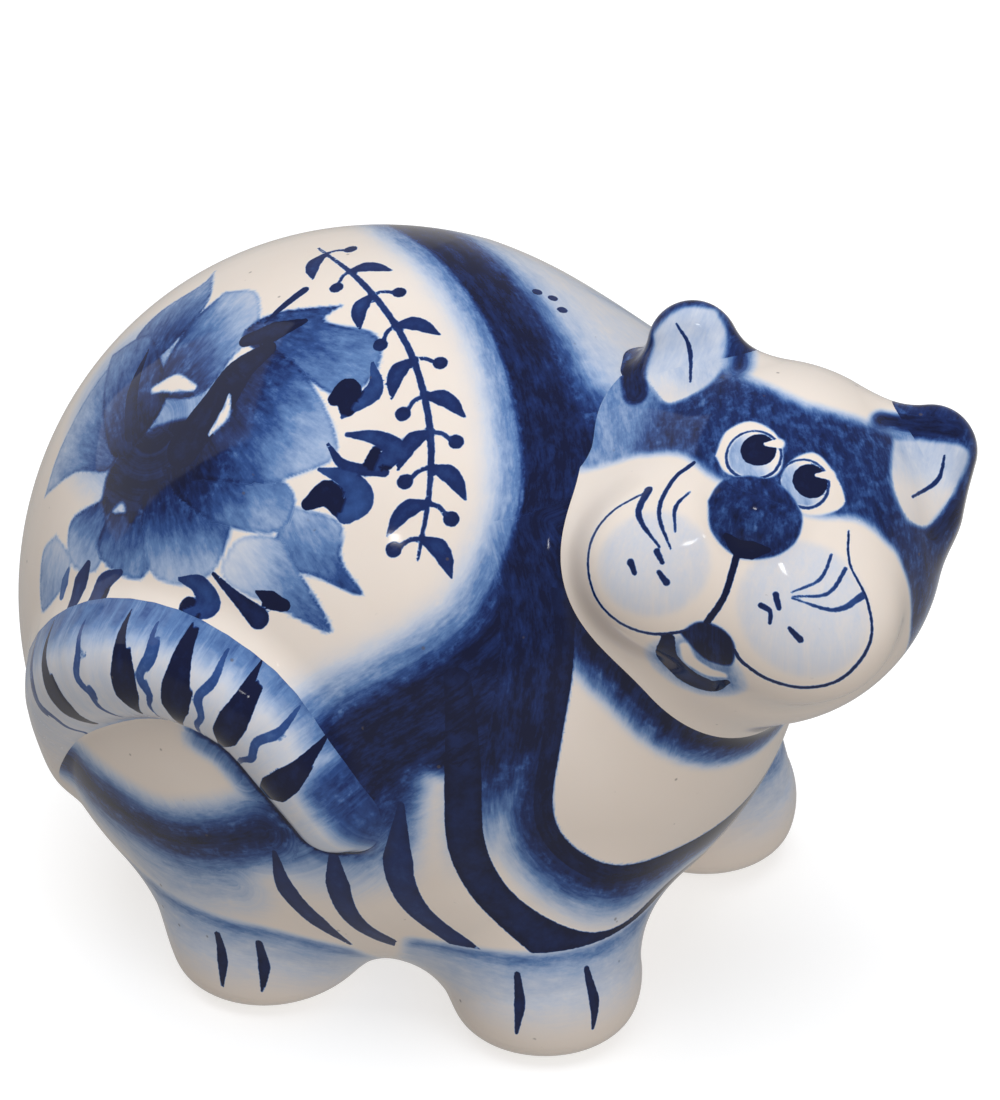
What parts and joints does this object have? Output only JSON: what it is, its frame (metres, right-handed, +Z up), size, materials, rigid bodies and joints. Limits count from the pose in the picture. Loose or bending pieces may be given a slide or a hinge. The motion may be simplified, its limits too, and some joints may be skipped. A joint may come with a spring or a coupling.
{
  "type": "cat figurine",
  "caption": "Round hollow ceramic cat on stub feet, head turned to its right and a tail curled on its flank, painted in cobalt blue on cream.",
  "frame": {"origin": "on the table, under the middle of the whole figurine's box", "axes": "+Z up, the cat's body faces -Y and its left side is +X"},
  "size_m": [0.0935, 0.1208, 0.0896],
  "materials": {
    "body_glaze": "cobalt brushwork under a clear gloss glaze on cream porcelain",
    "head_glaze": "cobalt brushwork under a clear gloss glaze on cream porcelain",
    "ear_glaze": "blue-grey wash and dark rim under a clear gloss glaze",
    "tail_glaze": "dark drops and wavy lines on pale blue under a clear gloss glaze",
    "leg_glaze": "cream porcelain with toe strokes under a clear gloss glaze, bare sole",
    "set_slip": "bare fired slip"
  },
  "bodies": {
    "root": {"body_shell": "body_glaze", "head_shell": "head_glaze", "neck_joint": "set_slip", "ear_left": "ear_glaze", "ear_right": "ear_glaze", "tail": "tail_glaze", "leg_front_left": "leg_glaze", "leg_front_right": "leg_glaze", "leg_rear_left": "leg_glaze", "leg_rear_right": "leg_glaze"}
  },
  "joints": []
}
